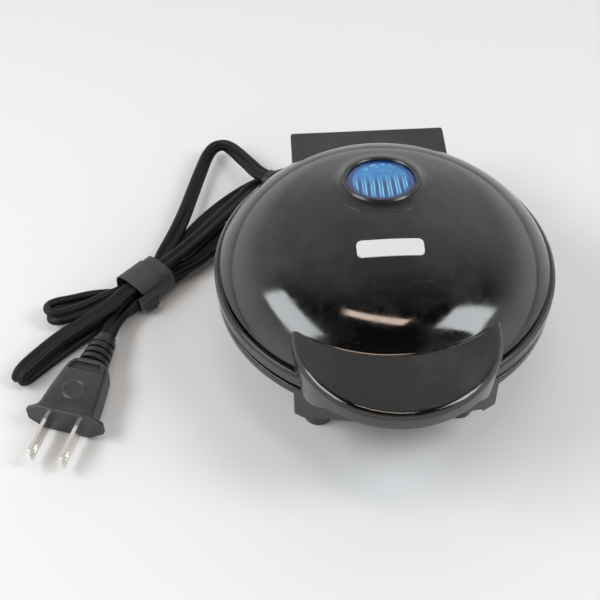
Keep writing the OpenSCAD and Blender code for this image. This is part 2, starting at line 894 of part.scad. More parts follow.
// Crimped sleeves on the lower element's contacts, with short wires into the terminals
module heater_leads() {
    contact_x = heat_r * sin(leg_turn);
    contact_y = heat_r * cos(leg_turn);
    color("#d9d4c6")
        for (side = [-1, 1])
            translate([side * contact_x, contact_y, 0]) {
                difference() {
                    translate([0, 0, parting_h - contact_out - 0.6])
                        cylinder(h = contact_out - leg_out, r = 2, $fn = 32);
                    translate([0, 0, parting_h - contact_out])
                        cylinder(h = 6, r = contact_r + 0.03, $fn = 32);
                }
                translate([0, 1.6, wire_h])
                    rotate([-90, 0, 0])
                    cylinder(h = terminal_y + 3 - contact_y - 1.6, r = 1.2, $fn = 32);
            }
}

// The lead's two cores inside the base, from the strain relief to the terminals
module supply_lead() {
    across = [-sin(gland_turn), cos(gland_turn), 0];
    inner = gland_point - gland_dir * (wall + relief_gap + relief_flange + 0.02);
    color("#1a1a1c")
        for (side = [-1, 1]) {
            start = inner - side * 1.6 * across;
            turn = [gland_x + 9 + side * 3.2, gland_y - 16, wire_h];
            finish = [side * terminal_x, terminal_y + terminal_d + 4, wire_h];
            last = [side * terminal_x, terminal_y + terminal_d - 3, wire_h];
            swept_cord(
                [for (p = [start, start - 2.5 * gland_dir, start * 0.4 + turn * 0.6,
                    turn * 0.8 + finish * 0.2, finish, last])
                    concat(p, [0, 0, 1])],
                2 * core_r, 2 * core_r
            );
        }
}

// A tapered rubber sleeve with rings, held in the base's rear corner
module strain_relief() {
    pitch = 3.6;
    color("#17181a")
        gland_frame() {
            translate([-3, -relief_r - 0.6, -wall - relief_gap - relief_flange])
                cube([6, 2 * (relief_r + 0.6), relief_flange]);
            translate([0, 0, -wall - relief_gap - 0.1])
                cylinder(h = wall + 2 * relief_gap + 0.2, r = relief_r - 0.4, $fn = 48);
            translate([0, 0, relief_gap])
                cylinder(h = relief_l - relief_gap, r1 = relief_r, r2 = cord_w / 2 + 0.3, $fn = 48);
            for (i = [1 : 4])
                translate([0, 0, i * pitch])
                cylinder(h = 1.4, r = relief_r + 0.5 - i * 0.25, $fn = 48);
        }
}

module hinge_pins() {
    color("#b7babd")
        for (side = [0, 1])
            mirror([side, 0, 0])
            translate([0, pivot_y, pivot_h])
            tube_along_x(knuckle_in + 0.3, pin_end - 0.2, pin_r);
}

// Lid

module lid_cover() {
    color("#101115")
        difference() {
            union() {
                difference() {
                    union() {
                        lid_solid();
                        handle_shell();
                        hood_shell();
                    }
                    lid_cavity();
                }
                intersection() {
                    in_lid()
                        ledge_form();
                    lid_solid();
                }
                intersection() {
                    at_lens()
                        for (side = [-1, 1])
                            translate([side * post_out, 0, board_top])
                            cylinder(h = crown_r - board_top, r = post_r, $fn = 32);
                    lid_solid();
                }
            }
            in_lid()
                ledge_bores();
            at_lens() {
                translate([0, 0, crown_r - 8])
                    cylinder(h = 20, r = lens_r + 0.55 + bezel_play, $fn = 96);
                translate([0, 0, crown_r - seat_in])
                    cylinder(h = 20, r = collar_r + bezel_play, $fn = 96);
                for (side = [-1, 1])
                    translate([side * post_out, 0, board_top - 1])
                    cylinder(h = 5, r = board_screw_r + 0.05, $fn = 32);
            }
            at_badge()
                translate([0, 0, badge_seat])
                linear_extrude(6)
                badge_plan(0.1);
        }
}

module handle_shell() {
    difference() {
        handle_form(0);
        difference() {
            handle_form(handle_wall);
            lid_solid();
        }
        handle_arch();
        translate([0, 0, lid_low - 20])
            cylinder(h = 20, r = rim_r + rim_clear, $fn = 160);
        translate([0, 0, lid_low - 20])
            cylinder(h = 15.2, r = 100, $fn = 60);
    }
}

module hood_shell() {
    difference() {
        union() {
            difference() {
                hood_form(0);
                difference() {
                    hood_form(hood_wall);
                    lid_solid();
                }
                translate([-hood_half + hood_wall, 40, 0])
                    cube([2 * (hood_half - hood_wall), pivot_y - 40, lid_low]);
            }
            for (side = [0, 1])
                mirror([side, 0, 0])
                translate([0, pivot_y, pivot_h])
                tube_along_x(lid_knuckle, hood_half - 1, knuckle_r);
        }
        translate([0, 0, lid_low - 20])
            cylinder(h = 20, r = body_r + rim_clear, $fn = 160);
        translate([0, pivot_y, pivot_h])
            tube_along_x(-pin_end, pin_end, pin_r + pin_play);
    }
}

module upper_ring() {
    color("#1b1c20")
        in_lid()
        plate_ring();
}

module upper_ring_screws() {
    color("silver")
        in_lid()
        ring_screws();
}

module upper_plate() {
    color("#2e2f31")
        in_lid()
        baking_plate();
}

module upper_plate_screws() {
    color("silver")
        in_lid()
        plate_screws();
}

module upper_reflector() {
    color("#c9ccce")
        in_lid()
        reflector_pan();
}

module upper_heater() {
    color("#8d8a84")
        in_lid()
        heating_element();
}

module lens_bezel() {
    color("#0d0e10")
        at_lens()
        rotate_extrude($fn = 96)
        polygon([
            [lens_r - 0.7, bezel_low],
            [lens_r + 0.55, bezel_low],
            [lens_r + 0.55, crown_r - seat_in],
            [collar_r, crown_r - seat_in],
            [collar_r, crown_r + collar_proud - 0.7],
            [collar_r - 0.7, crown_r + collar_proud],
            [lens_r + 0.6, crown_r + collar_proud],
            [lens_r + 0.1, crown_r + collar_proud - 0.5],
            [lens_r + 0.1, lens_low],
            [lens_r - 0.7, lens_low]
        ]);
}

module indicator_lens() {
    pitch = 2 * (lens_r - 1.6) / lens_ribs;
    color("#1467c8")
        at_lens() {
            translate([0, 0, lens_low])
                cylinder(h = lens_t, r = lens_r, $fn = 96);
            intersection() {
                translate([0, 0, bezel_low])
                    cylinder(h = lens_low - bezel_low + 0.4, r = lens_r - 0.9, $fn = 96);
                for (i = [0 : lens_ribs - 1])
                    translate([(i - (lens_ribs - 1) / 2) * pitch, lens_r, 0])
                    rotate([90, 0, 0])
                    linear_extrude(2 * lens_r)
                    polygon([
                        [-pitch * 0.45, lens_low + 0.4], [0, bezel_low - 0.3], [pitch * 0.45, lens_low + 0.4]
                    ]);
            }
        }
}

module lamp_board() {
    color("#2c6b3f")
        at_lens()
        difference() {
            translate([-board_l / 2, -board_w / 2, board_top - board_t])
                cube([board_l, board_w, board_t]);
            for (side = [-1, 1])
                translate([side * post_out, 0, board_top - board_t - 1])
                cylinder(h = board_t + 2, r = board_screw_r + 0.2, $fn = 32);
        }
}

module lamps() {
    color("#dfe9f5")
        at_lens()
        for (side = [-1, 1])
            translate([side * 4, 0, board_top]) {
                cylinder(h = 1, r = 1.9, $fn = 32);
                cylinder(h = bezel_low - board_top - 0.5, r = 1.5, $fn = 32);
            }
}

module board_screws() {
    color("silver")
        at_lens()
        for (side = [-1, 1])
            translate([side * post_out, 0, board_top - board_t]) {
                translate([0, 0, -1.1])
                    cylinder(h = 1.1, r = 1.8, $fn = 32);
                translate([0, 0, -0.01])
                    cylinder(h = board_t + 3.2, r = board_screw_r, $fn = 32);
            }
}

module badge_plan(grow) {
    half_l = badge_l / 2 + grow;
    half_w = badge_w / 2 + grow;
    square([2 * (half_l - badge_corner), 2 * half_w], center = true);
    square([2 * half_l, 2 * (half_w - badge_corner)], center = true);
    for (x = [-1, 1], y = [-1, 1])
        translate([x * (half_l - badge_corner), y * (half_w - badge_corner)])
        circle(badge_corner, $fn = 32);
}

module badge() {
    color("#d3d6d9")
        intersection() {
            at_badge()
                translate([0, 0, badge_seat])
                linear_extrude(4)
                badge_plan(0);
            at_badge()
                rotate_extrude($fn = 96)
                polygon(concat(
                    [[0, badge_seat - 1]],
                    [[badge_l, badge_seat - 1]],
                    [for (i = [6 : -1 : 0]) let (a = i * 1.2)
                        [(crown_r + badge_proud) * sin(a), (crown_r + badge_proud) * cos(a)]]
                ));
        }
}

// Cord and plug

function unit(v) = v / norm(v);

// The direction of a swept route at one of its points
function along(path, i) = unit(
    [for (k = [0 : 2]) path[min(i + 1, len(path) - 1)][k] - path[max(i - 1, 0)][k]]
);

// One ring of a swept cord: a flattened outline in the plane across it
function cord_ring(path, i, wide, thick) =
    let (
        p = [path[i][0], path[i][1], path[i][2]],
        t = along(path, i),
        hint = [path[i][3], path[i][4], path[i][5]],
        w = unit(hint - (hint * t) * t),
        n = cross(t, w)
    )
    [for (k = [0 : cord_sides - 1])
        let (a = 360 * (k + 0.5) / cord_sides, c = cos(a), s = sin(a))
        p + w * (c * thick / 2 + sign(c) * (wide - thick) / 2) + n * (s * thick / 2)];

module swept_cord(path, wide, thick) {
    count = len(path);
    points = [for (i = [0 : count - 1]) each cord_ring(path, i, wide, thick)];
    sides = [for (i = [0 : count - 2], k = [0 : cord_sides - 1])
        let (a = i * cord_sides + k, b = i * cord_sides + (k + 1) % cord_sides)
        [a, a + cord_sides, b + cord_sides, b]];
    ends = [
        [for (k = [0 : cord_sides - 1]) k],
        [for (k = [cord_sides - 1 : -1 : 0]) (count - 1) * cord_sides + k]
    ];
    polyhedron(points = points, faces = concat(sides, ends), convexity = 10);
}

module cord() {
    color("#141416")
        swept_cord(route, cord_w, cord_t);
}

module soft_plan(w, h, corner) {
    square([w - 2 * corner, h], center = true);
    square([w, h - 2 * corner], center = true);
    for (x = [-1, 1], y = [-1, 1])
        translate([x * (w / 2 - corner), y * (h / 2 - corner)])
        circle(corner, $fn = 32);
}

module cord_tie() {
    color("#4a4a4c")
        translate([tie_x, tie_y, tie_h / 2])
        rotate([0, 0, tie_turn])
        rotate([90, 0, 0])
        translate([0, 0, -tie_l / 2])
        linear_extrude(tie_l)
        difference() {
            soft_plan(tie_w, tie_h, tie_corner);
            soft_plan(tie_w - 2 * tie_t, tie_h - 2 * tie_t, tie_corner - tie_t);
        }
}

// The plug's own frame: its blades point along -Y and its face lies at y = 0
module at_plug() {
    translate([plug_x, plug_y, 0])
        rotate([0, 0, plug_turn])
        children();
}

module plug_body() {
    mid = plug_h / 2;
    color("#18191c")
        at_plug()
        difference() {
            union() {
                translate([0, 2.6, mid])
                    rotate([90, 0, 0])
                    linear_extrude(2.6)
                    soft_plan(plug_w, plug_h, 4.6);
                translate([0, 2.5, 0])
                    linear_extrude(plug_h - 1)
                    translate([0, 0])
                    polygon([[-11, 0], [11, 0], [10.4, 10], [9, plug_l - 8], [8.4, plug_l - 2.5],
                        [-8.4, plug_l - 2.5], [-9, plug_l - 8], [-10.4, 10]]);
                translate([0, plug_l - 0.5, mid])
                    rotate([-90, 0, 0])
                    cylinder(h = plug_relief + 0.5, r = cord_w / 2 + 0.5, $fn = 48);
                for (i = [0 : 3])
                    translate([0, plug_l + 0.8 + i * 3.2, mid])
                    rotate([-90, 0, 0])
                    cylinder(h = 1.8, r = 6 - i * 0.35, $fn = 48);
                translate([0, 12, plug_h - 1.01])
                    cylinder(h = 0.6, r = 3.6, $fn = 48);
            }
            for (side = [-1, 1])
                translate([side * blade_pitch / 2 - blade_t / 2 - 0.02, -1, mid - blade_w / 2 - 0.02])
                cube([blade_t + 0.04, 7, blade_w + 0.04]);
        }
}

module plug_blades() {
    mid = plug_h / 2;
    color("#c8c6bd")
        at_plug()
        for (side = [-1, 1])
            translate([side * blade_pitch / 2, 0, mid])
            difference() {
                translate([-blade_t / 2, -blade_l, -blade_w / 2])
                    cube([blade_t, blade_l + 5.9, blade_w]);
                translate([-5, -blade_l + 4.4, 0])
                    rotate([0, 90, 0])
                    cylinder(h = 10, r = 1.6, $fn = 32);
                for (corner = [-1, 1])
                    translate([0, -blade_l, corner * blade_w / 2])
                    rotate([45, 0, 0])
                    cube([4, 1.8, 1.8], center = true);
            }
}

base_shell();
foot_pads();
lower_ring();
lower_ring_screws();
lower_plate();
lower_plate_screws();
lower_reflector();
lower_heater();
thermostat();
thermal_fuse();
terminal_block();
heater_leads();
supply_lead();
strain_relief();
hinge_pins();
lid_cover();
upper_ring();
upper_ring_screws();
upper_plate();
upper_plate_screws();
upper_reflector();
upper_heater();
lens_bezel();
indicator_lens();
lamp_board();
lamps();
board_screws();
badge();
cord();
cord_tie();
plug_body();
plug_blades();
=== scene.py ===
import math

import bmesh
import bpy
from mathutils import Matrix, Vector


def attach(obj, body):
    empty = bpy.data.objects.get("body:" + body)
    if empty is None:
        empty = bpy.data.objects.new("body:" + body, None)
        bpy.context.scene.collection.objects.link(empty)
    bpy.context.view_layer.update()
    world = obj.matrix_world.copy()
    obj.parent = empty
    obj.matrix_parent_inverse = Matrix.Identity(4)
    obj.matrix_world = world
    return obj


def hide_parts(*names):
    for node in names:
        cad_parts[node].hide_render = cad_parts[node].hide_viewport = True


MM = 0.001

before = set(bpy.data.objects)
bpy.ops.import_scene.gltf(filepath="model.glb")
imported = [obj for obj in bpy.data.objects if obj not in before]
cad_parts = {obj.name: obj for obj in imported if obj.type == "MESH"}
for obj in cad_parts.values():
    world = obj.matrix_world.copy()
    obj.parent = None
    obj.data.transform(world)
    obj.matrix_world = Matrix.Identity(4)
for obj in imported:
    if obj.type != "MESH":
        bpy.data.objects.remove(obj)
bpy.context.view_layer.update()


# ---------------------------------------------------------------- camera

# The camera fitted to the photograph: angles in degrees, shifts and distance in millimetres
PHOTO_PIXELS = 600
FOCAL_PIXELS = 1162.43591444
SENSOR_WIDTH = 36
TURN = 1.79453672
TILT = 48.85981715
ROLL = 1.31058999
SHIFT_X = 31.92300272
SHIFT_Y = -16.08645073
DISTANCE = 473.05631316


def make_camera():
    """The photograph's camera: it looks down at the front, turned and rolled a little."""
    turn, tilt, roll = (math.radians(angle) for angle in (TURN, TILT, ROLL))
    right = Vector((1, 0, 0))
    up = Vector((0, math.sin(tilt), math.cos(tilt)))
    ahead = Vector((0, math.cos(tilt), -math.sin(tilt)))
    place = -right * SHIFT_X - up * SHIFT_Y - ahead * DISTANCE
    side = right * math.cos(roll) - up * math.sin(roll)
    top = right * math.sin(roll) + up * math.cos(roll)

    def to_world(v):
        """Turns a direction or place about the object's upright axis."""
        return Vector((v.x * math.cos(turn) + v.y * math.sin(turn),
                       -v.x * math.sin(turn) + v.y * math.cos(turn), v.z))

    side, top, ahead, place = (to_world(v) for v in (side, top, ahead, place))
    data = bpy.data.cameras.new("camera")
    data.lens = SENSOR_WIDTH * FOCAL_PIXELS / PHOTO_PIXELS
    data.sensor_width = SENSOR_WIDTH
    data.clip_start = 0.01
    camera = bpy.data.objects.new("camera", data)
    bpy.context.scene.collection.objects.link(camera)
    back = -ahead
    camera.matrix_world = Matrix((
        (side.x, top.x, back.x, place.x * MM),
        (side.y, top.y, back.y, place.y * MM),
        (side.z, top.z, back.z, place.z * MM),
        (0, 0, 0, 1)))
    bpy.context.scene.camera = camera


make_camera()


# ---------------------------------------------------------------- mesh helpers

def new_piece(name, verts, faces):
    """A smooth-shaded mesh object from points in millimetres."""
    mesh = bpy.data.meshes.new(name)
    mesh.from_pydata([tuple(c * MM for c in v) for v in verts], [], faces)
    mesh.update()
    mesh.polygons.foreach_set("use_smooth", [True] * len(mesh.polygons))
    obj = bpy.data.objects.new(name, mesh)
    bpy.context.scene.collection.objects.link(obj)
    return obj


def loft(name, rings, capped=True):
    """A skin over rings that all have the same number of points, with its two ends capped."""
    n = len(rings[0])
    verts = [p for ring in rings for p in ring]
    faces = []
    for i in range(len(rings) - 1):
        a, b = i * n, (i + 1) * n
        for k in range(n):
            j = (k + 1) % n
            faces.append((a + k, a + j, b + j, b + k))
    if capped:
        faces.append(tuple(range(n - 1, -1, -1)))
        faces.append(tuple((len(rings) - 1) * n + k for k in range(n)))
    obj = new_piece(name, verts, faces)
    face_out(obj)
    return obj


def face_out(obj):
    """Turns every face's front to the outside."""
    work = bmesh.new()
    work.from_mesh(obj.data)
    bmesh.ops.recalc_face_normals(work, faces=work.faces)
    work.to_mesh(obj.data)
    work.free()


def sharpen(obj, degrees):
    """Keeps hard edges in the smooth shading where faces meet at more than the angle."""
    obj.data.set_sharp_from_angle(angle=math.radians(degrees))


def placer(origin, turn):
    """A function that takes a point from a loose piece's own axes to the frame, in millimetres."""
    c, s = math.cos(turn), math.sin(turn)

    def to_frame(x, y, z):
        return Vector((origin.x + x * c - y * s, origin.y + x * s + y * c, z))

    return to_frame


# ---------------------------------------------------------------- cord

# The route in metres: a point, then the direction that the flat cord's width lies along
ROUTE = [
    # strand A, from the strain relief over strand C
    (-0.0430, 0.0870, 0.0112, 6, 8, 0),
    (-0.0469, 0.0909, 0.0105, 6, 6, 3),
    (-0.0510, 0.0978, 0.0096, 4, 4, 6),
    (-0.0550, 0.1046, 0.0086, 4, 3, 7),
    (-0.0588, 0.1106, 0.0076, 3, 0, 9),
    (-0.0630, 0.1144, 0.0066, 0, -3, 9),
    (-0.0670, 0.1130, 0.0062, -2, -2, 9),
    (-0.0700, 0.1076, 0.0060, -4, -1, 9),
    (-0.0726, 0.0990, 0.0058, -5, 1, 8),
    (-0.0760, 0.0860, 0.0058, -6, 2, 8),
    (-0.0796, 0.0716, 0.0060, -6, 3, 7),
    (-0.0834, 0.0584, 0.0066, -6, 5, 4),
    (-0.0876, 0.0476, 0.0066, -7, 7, 1),
    (-0.0916, 0.0390, 0.0064, -7, 7, 0),
    # loop 1, past the tie and back
    (-0.1044, 0.0264, 0.0064, -7, 7, 0),
    (-0.1110, 0.0222, 0.0064, -5, 6, 4),
    (-0.1186, 0.0176, 0.0066, -3, 6, 7),
    (-0.1260, 0.0140, 0.0070, -3, 6, 7),
    (-0.1308, 0.0130, 0.0070, -3, 6, 7),
    (-0.1338, 0.0146, 0.0068, -3, 6, 7),
    (-0.1340, 0.0182, 0.0062, -3, 6, 7),
    (-0.1310, 0.0204, 0.0058, -3, 6, 7),
    (-0.1260, 0.0218, 0.0054, -3, 6, 7),
    (-0.1180, 0.0244, 0.0046, -3, 6, 7),
    (-0.1114, 0.0262, 0.0034, -5, 6, 3),
    # strand C, flat on the table
    (-0.1044, 0.0270, 0.0028, -7, 7, 0),
    (-0.0918, 0.0392, 0.0028, -7, 7, 0),
    (-0.0848, 0.0500, 0.0022, -7, 6, 0),
    (-0.0746, 0.0654, 0.0019, -7, 6, 0),
    (-0.0676, 0.0742, 0.0019, -7, 6, 0),
    (-0.0600, 0.0820, 0.0019, -7, 7, 0),
    (-0.0520, 0.0886, 0.0019, -6, 8, 0),
    (-0.0430, 0.0942, 0.0019, -4, 8, 0),
    (-0.0330, 0.0982, 0.0022, -3, 9, 0),
    (-0.0240, 0.1000, 0.0034, -1, 8, -4),
    # the fold behind the base
    (-0.0156, 0.1000, 0.0040, 0, 0, -1),
    (-0.0098, 0.0976, 0.0040, 0, 0, -1),
    (-0.0074, 0.0920, 0.0040, 0, 0, -1),
    (-0.0098, 0.0864, 0.0040, 0, 0, -1),
    (-0.0156, 0.0840, 0.0040, 0, -1, -9),
    (-0.0246, 0.0856, 0.0048, -1, -8, -3),
    (-0.0340, 0.0882, 0.0054, 1, -9, 0),
    # strand B, the top one through the tie
    (-0.0425, 0.0884, 0.0055, 4, -9, 0),
    (-0.0494, 0.0852, 0.0058, 7, -7, 0),
    (-0.0570, 0.0748, 0.0070, 8, -6, 0),
    (-0.0666, 0.0616, 0.0084, 8, -6, 0),
    (-0.0764, 0.0486, 0.0096, 7, -6, 0),
    (-0.0884, 0.0356, 0.0101, 7, -7, 0),
    (-0.1014, 0.0234, 0.0101, 7, -7, 0),
    # loop 2, folded over its end
    (-0.1090, 0.0156, 0.0092, 7, -7, 0),
    (-0.1190, 0.0090, 0.0076, 6, -7, 0),
    (-0.1290, 0.0010, 0.0073, 7, -7, 0),
    (-0.1376, -0.0084, 0.0073, 8, -7, 0),
    (-0.1416, -0.0138, 0.0072, 8, -6, 0),
    (-0.1434, -0.0162, 0.0046, 8, -6, 0),
    (-0.1416, -0.0138, 0.0020, 8, -6, 0),
    (-0.1374, -0.0096, 0.0019, 8, -7, 0),
    (-0.1240, 0.0034, 0.0019, 7, -7, 0),
    (-0.1114, 0.0136, 0.0019, 7, -7, 0),
    (-0.1000, 0.0216, 0.0026, 7, -7, 0),
    # strand D and its fold beside the base
    (-0.0866, 0.0340, 0.0028, 7, -7, 0),
    (-0.0774, 0.0444, 0.0019, 7, -6, 0),
    (-0.0670, 0.0576, 0.0019, 7, -6, 0),
    (-0.0606, 0.0640, 0.0026, 6, -7, 2),
    (-0.0540, 0.0676, 0.0036, 2, -6, 7),
    (-0.0486, 0.0680, 0.0040, 0, 0, 1),
    (-0.0430, 0.0650, 0.0040, 0, 0, 1),
    (-0.0408, 0.0594, 0.0040, 0, 0, 1),
    (-0.0434, 0.0538, 0.0040, 0, 0, 1),
    (-0.0496, 0.0518, 0.0040, 0, 1, 9),
    (-0.0580, 0.0530, 0.0048, -2, 6, 7),
    # strand E and the tail to the plug
    (-0.0658, 0.0504, 0.0056, -6, 8, 0),
    (-0.0752, 0.0416, 0.0057, -7, 7, 0),
    (-0.0864, 0.0334, 0.0064, -7, 7, 0),
    (-0.0996, 0.0210, 0.0064, -7, 7, 0),
    (-0.1048, 0.0144, 0.0058, -8, 6, 0),
    (-0.1076, 0.0084, 0.0066, -9, 4, 0),
    (-0.1089, 0.0038, 0.0070, -9, 3, 0),
    (-0.1098, 0.0010, 0.0070, -9, 3, 0),
]
# In millimetres: each core's thickness, and the cord's least height above the table
CORD_THICK = 3.4
CORD_CLEAR = 0.05


def between(a, b, c, d, t):
    """Catmull-Rom between b and c."""
    return 0.5 * ((2 * b) + (c - a) * t + (2 * a - 5 * b + 4 * c - d) * t * t
                  + (3 * b - a - 3 * c + d) * t ** 3)


def smooth_route(steps):
    """The route in millimetres, with steps from point to point, and the width's directions."""
    points = [Vector(p[:3]) / MM for p in ROUTE]
    hints = [Vector(p[3:]).normalized() for p in ROUTE]
    line, wide = [], []
    last = len(points) - 1
    for i in range(last):
        for s in range(steps):
            t = s / steps
            pick = [max(i - 1, 0), i, i + 1, min(i + 2, last)]
            line.append(between(*(points[k] for k in pick), t))
            wide.append(hints[i].lerp(hints[i + 1], t))
    line.append(points[-1])
    wide.append(hints[-1])
    return line, wide


def two_core_outline():
    """The flat cord's section: two round cores with a groove between them."""
    r = CORD_THICK / 2
    groove = 0.62
    open_turn = math.pi - math.asin(groove)
    half = [(r + r * math.cos(a), r * math.sin(a))
            for a in (-open_turn + 2 * open_turn * k / 12 for k in range(13))]
    return half + [(-u, -v) for u, v in half]


def make_cord():
    """The cord as one skin, with its line and its length in metres; it never cuts the table."""
    line, wide = smooth_route(5)
    outline = two_core_outline()
    rings = []
    for i, p in enumerate(line):
        ahead = (line[min(i + 1, len(line) - 1)] - line[max(i - 1, 0)]).normalized()
        w = wide[i] - ahead * wide[i].dot(ahead)
        w.normalize()
        n = ahead.cross(w)
        rings.append([p + w * u + n * v for u, v in outline])
    for ring in rings:
        for p in ring:
            p.z = max(p.z, CORD_CLEAR)
    obj = loft("cord_tube", rings)
    length = sum((line[i + 1] - line[i]).length for i in range(len(line) - 1)) * MM
    return obj, [tuple(p * MM) for p in line], length


cord, cord_line, cord_length = make_cord()
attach(cord, "base")
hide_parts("cord")


# ---------------------------------------------------------------- strain relief

# Where the lead leaves the base, in millimetres, and its direction in degrees
GLAND = Vector((-27.75, 74.25, 14))
GLAND_TURN = 140
GLAND_FALL = 8


def make_relief():
    """The tapered sleeve: round at the housing, oval at the cord, cut into ribs."""
    turn, lean = math.radians(GLAND_TURN), math.radians(90 + GLAND_FALL)
    flat = Vector((math.cos(turn), math.sin(turn), 0))
    az = flat * math.sin(lean) + Vector((0, 0, math.cos(lean)))
    ax = flat * math.cos(lean) - Vector((0, 0, math.sin(lean)))
    ay = Vector((-math.sin(turn), math.cos(turn), 0))

    def oval(h, across, tall):
        """A ring of the sleeve at h from the housing's face."""
        return [GLAND + ax * (tall * math.sin(a)) + ay * (across * math.cos(a)) + az * h
                for a in (math.tau * k / 40 for k in range(40))]

    neck, collar = 4.1, 4.8
    foot, end = 1.2, 20.0
    rib_count, rib_pitch, rib_wide, rib_slope, rib_proud = 5, 3.55, 1.9, 0.25, 0.42
    rings = [oval(-3.5, neck, neck), oval(1.1, neck, neck), oval(foot, collar, collar)]
    profile = []
    for i in range(rib_count):
        start = 1.3 + i * rib_pitch
        profile += [(start, 0), (start + rib_slope, rib_proud),
                    (start + rib_wide - rib_slope, rib_proud), (start + rib_wide, 0)]
    profile += [(end - 0.5, 0.2), (end, -0.3)]
    for h, proud in profile:
        f = (h - foot) / (end - foot)
        rings.append(oval(h, 4.5 - 0.3 * f + proud, 4.4 - 2.1 * f + proud))
    obj = loft("strain_relief_sleeve", rings)
    sharpen(obj, 40)
    return obj


relief = make_relief()
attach(relief, "base")
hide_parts("strain_relief")


# ---------------------------------------------------------------- cord tie

# The strap goes round the cord's strands: its Y axis lies along them, its X axis across
TIE_TURN = math.radians(-46.2)
at_tie = placer(Vector((-95.6, 30, 0)), TIE_TURN)
STRAP_HALF_WIDE = 8.5
STRAP_HALF_TALL = 6.6
STRAP_SQUARENESS = 3.4


def wrap_point(turn, inset):
    """A point of the strap's rounded outline, once round for each turn of 1."""
    a = math.tau * turn
    c, s = math.cos(a), math.sin(a)
    power = 2 / STRAP_SQUARENESS
    return (math.copysign(abs(c) ** power, c) * (STRAP_HALF_WIDE - inset),
            STRAP_HALF_TALL + math.copysign(abs(s) ** power, s) * (STRAP_HALF_TALL - inset))


def outward(path, i):
    """The direction square to a path in X and Z at its point i, to the strap's outer side."""
    a, b = path[max(i - 1, 0)], path[min(i + 1, len(path) - 1)]
    dx, dz = b[0] - a[0], b[1] - a[1]
    size = math.hypot(dx, dz) or 1
    return -dz / size, dx / size


def strip(name, path, edges, thick):
    """Cloth along a path in X and Z; edges gives its two sides' Y at a share of the way."""
    rings = []
    for i, (x, z) in enumerate(path):
        ox, oz = outward(path, i)
        y0, y1 = edges(i / (len(path) - 1))
        sides = [y0 + (y1 - y0) * k / 8 for k in range(9)]
        ring = [at_tie(x, y, z) for y in sides]
        ring += [at_tie(x + ox * thick, y, z + oz * thick) for y in reversed(sides)]
        rings.append(ring)
    return loft(name, rings)


def inner_edges(f):
    return -6.0 - 1.0 * math.sin(f * 5), 9.3 + 0.4 * math.sin(f * 7)


def outer_edges(f):
    return -9.6 + 2.4 * f, 3.2 + 1.6 * math.sin(3 * f)


def flap_edges(f):
    middle, half = -4.2, 3.9 - 1.2 * f
    return middle - half - 0.8 * f, middle + half - 1.8 * f * f


def make_tie():
    """Two turns of crumpled strap round the strands, and its loose end."""
    turn_steps = 60
    inner = [wrap_point(0.08 - t / turn_steps, 1.0) for t in range(turn_steps + 1)]
    outer = [wrap_point(0.06 - t / turn_steps, 0.5) for t in range(turn_steps - 1)]
    flap = []
    for f in (i / 14 for i in range(15)):
        z = 5.2 - 3.4 * f ** 0.8 + 0.8 * math.sin(f * 8)
        flap.append((7.9 + 3.0 * f, max(z, 0.2)))
    pieces = [strip("cord_tie_inner_wrap", inner, inner_edges, 0.46),
              strip("cord_tie_outer_wrap", outer, outer_edges, 0.46),
              strip("cord_tie_flap", flap, flap_edges, 0.55)]
    for piece in pieces:
        sharpen(piece, 50)
    return pieces


tie = make_tie()
for piece in tie:
    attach(piece, "base")
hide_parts("cord_tie")


# ---------------------------------------------------------------- plug

# The plug's Y axis runs from its blades' face back to the cord
at_plug = placer(Vector((-123.4, -39.8, 0)), math.radians(-18.5))
PLUG_POINTS = 168

# At y: the half width, the lowest and the highest point, and the squareness of the plug's body
PLUG_BODY = [
    (0.0, 14.9, 0.5, 13.5, 5.0),
    (0.5, 15.5, 0.0, 14.0, 5.0),
    (2.1, 15.5, 0.0, 14.0, 5.0),
    (2.7, 15.0, 0.4, 13.6, 5.0),
    (3.1, 11.9, 0.5, 13.1, 5.5),
    (4.5, 11.2, 0.5, 13.0, 6.0),
    (12.0, 10.4, 0.5, 13.0, 6.0),
    (20.0, 9.2, 0.5, 13.0, 5.5),
    (24.5, 8.4, 0.6, 12.9, 5.0),
    (26.8, 7.4, 1.2, 12.5, 4.0),
    (28.0, 5.6, 2.2, 11.8, 3.0),
]
PLUG_RELIEF_Y = PLUG_BODY[-1][0]
PLUG_RELIEF_LENGTH = 15


def plug_section(y):
    """Half width, lowest and highest point, and squareness of the plug at y."""
    for a, b in zip(PLUG_BODY, PLUG_BODY[1:]):
        if y <= b[0]:
            f = (y - a[0]) / (b[0] - a[0])
            return [a[k] + (b[k] - a[k]) * f for k in range(1, 5)]
    return list(PLUG_BODY[-1][1:])


def plug_relief_width(y):
    """Half width of the plug's own strain relief, which carries four ribs."""
    rib_pitch, rib_wide = 3.2, 1.9
    for i in range(4):
        start = PLUG_RELIEF_Y + 0.8 + i * rib_pitch
        if start <= y <= start + rib_wide:
            return 6.0 - i * 0.35
    return 4.5 - 0.5 * (y - PLUG_RELIEF_Y) / PLUG_RELIEF_LENGTH


def oblong(half, tall, power, count):
    """Points of a rounded oblong, evenly spaced along its outline."""
    fine = []
    for k in range(721):
        a = math.tau * k / 720
        c, s = math.cos(a), math.sin(a)
        fine.append((math.copysign(abs(c) ** (2 / power), c) * half,
                     math.copysign(abs(s) ** (2 / power), s) * tall))
    far = [0.0]
    for a, b in zip(fine, fine[1:]):
        far.append(far[-1] + math.dist(a, b))
    points, i = [], 0
    for k in range(count):
        want = far[-1] * k / count
        while far[i + 1] < want:
            i += 1
        f = (want - far[i]) / (far[i + 1] - far[i])
        points.append(tuple(fine[i][m] + (fine[i + 1][m] - fine[i][m]) * f for m in (0, 1)))
    return points


